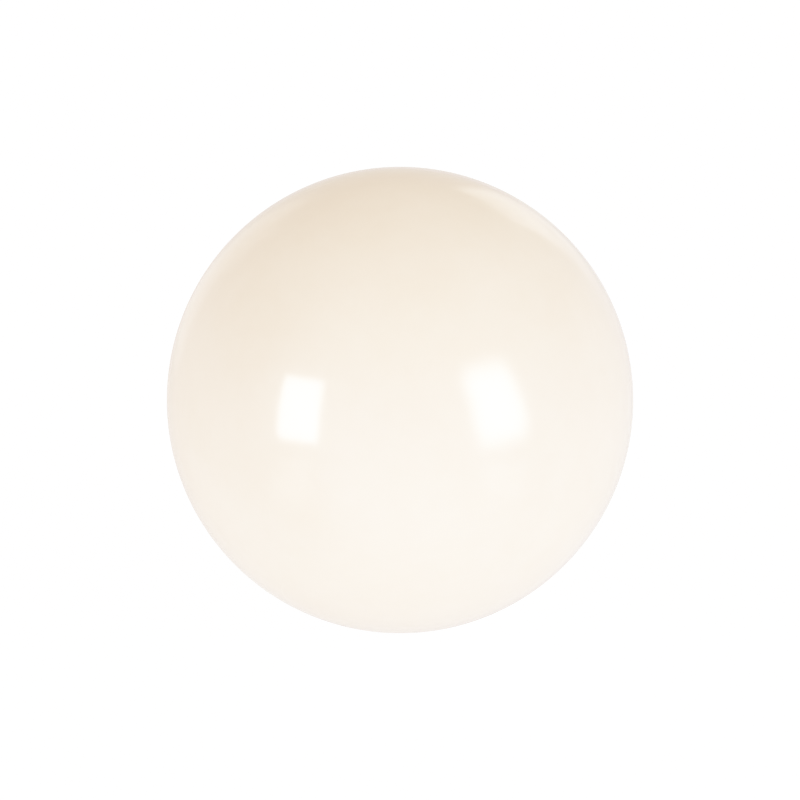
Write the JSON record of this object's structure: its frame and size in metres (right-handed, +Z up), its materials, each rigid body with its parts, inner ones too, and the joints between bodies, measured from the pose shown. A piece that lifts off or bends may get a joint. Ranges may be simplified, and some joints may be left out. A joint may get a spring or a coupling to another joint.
{
  "type": "cue ball",
  "caption": "Plain ivory-white cue ball for pool: a solid, polished cast-resin sphere that rests and rolls on a cloth.",
  "frame": {"origin": "centre of the ball, which is also its centre of mass", "axes": "+Z up from the cloth that the ball rests on; X and Y are level, and the ball is the same about every axis"},
  "size_m": [0.0572, 0.0572, 0.0572],
  "materials": {
    "ivory_resin": "polished"
  },
  "bodies": {
    "root": {"cue_ball": "ivory_resin"}
  },
  "joints": []
}
